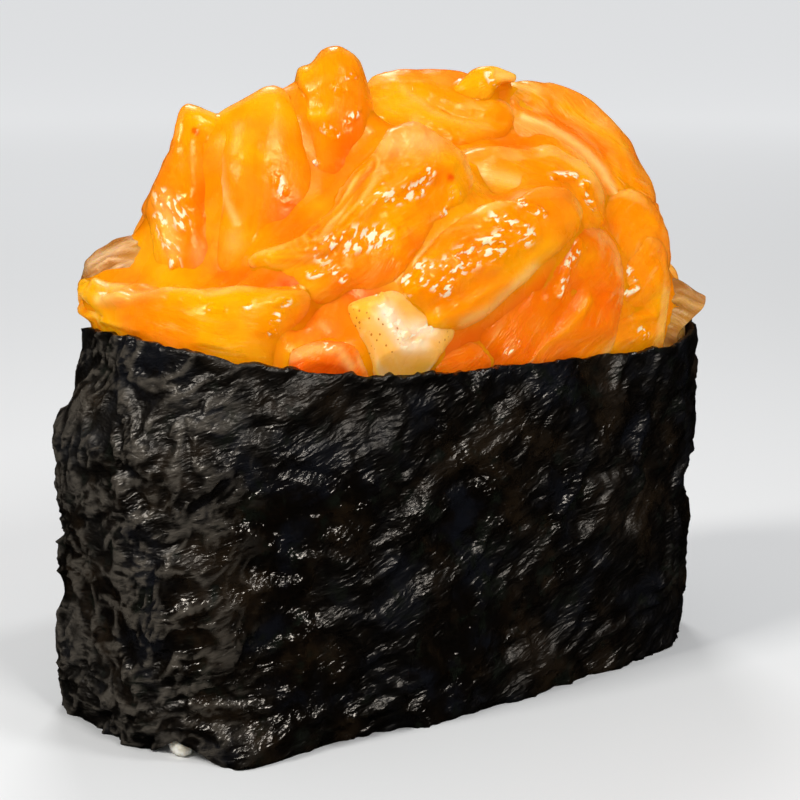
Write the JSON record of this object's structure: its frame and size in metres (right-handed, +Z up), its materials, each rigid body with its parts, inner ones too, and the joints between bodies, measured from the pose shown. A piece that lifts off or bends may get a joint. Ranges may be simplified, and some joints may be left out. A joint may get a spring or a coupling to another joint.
{
  "type": "gunkan sushi",
  "caption": "Oval gunkan sushi: pressed rice in a tall crinkled nori band, heaped with folded slices of raw orange salmon in a glossy sauce.",
  "frame": {"origin": "centre of the bounding box at the board it stands on", "axes": "+X along the long side of the oval band, +Y from the front to the back, +Z up"},
  "size_m": [0.0629, 0.0319, 0.056],
  "materials": {
    "nori": "near-black pressed seaweed, crinkled, satin to glossy",
    "rice": "moist white vinegared rice",
    "salmon": "orange raw salmon, translucent, wet with sauce",
    "salmon_deep": "deep red-orange raw salmon, wet",
    "salmon_pale": "pale fatty salmon with fine specks, wet",
    "salmon_brown": "brownish fibrous edge of the salmon, wet"
  },
  "bodies": {
    "root": {"nori": "nori", "rice": "rice", "salmon_heap": "salmon_deep", "rim_pale_slice": "salmon_pale", "rim_cube": "salmon_deep", "rim_chip": "salmon_deep", "left_slab": "salmon", "front_tongue": "salmon", "left_tongue": "salmon", "rim_right_slice": "salmon_deep", "right_fold": "salmon", "right_end_strip": "salmon_brown", "rim_filler": "salmon", "right_petal": "salmon", "left_petal": "salmon", "tall_finger": "salmon", "inner_right_slice": "salmon", "right_cheek": "salmon", "right_dome": "salmon", "top_slice": "salmon", "top_curl": "salmon", "left_end_strip": "salmon_brown", "back_left_slab": "salmon", "back_low_tongue": "salmon", "back_right_fold": "salmon_deep", "back_end_chip": "salmon", "back_high_slice": "salmon", "back_crest_slice": "salmon", "back_shoulder_slice": "salmon"}
  },
  "joints": []
}
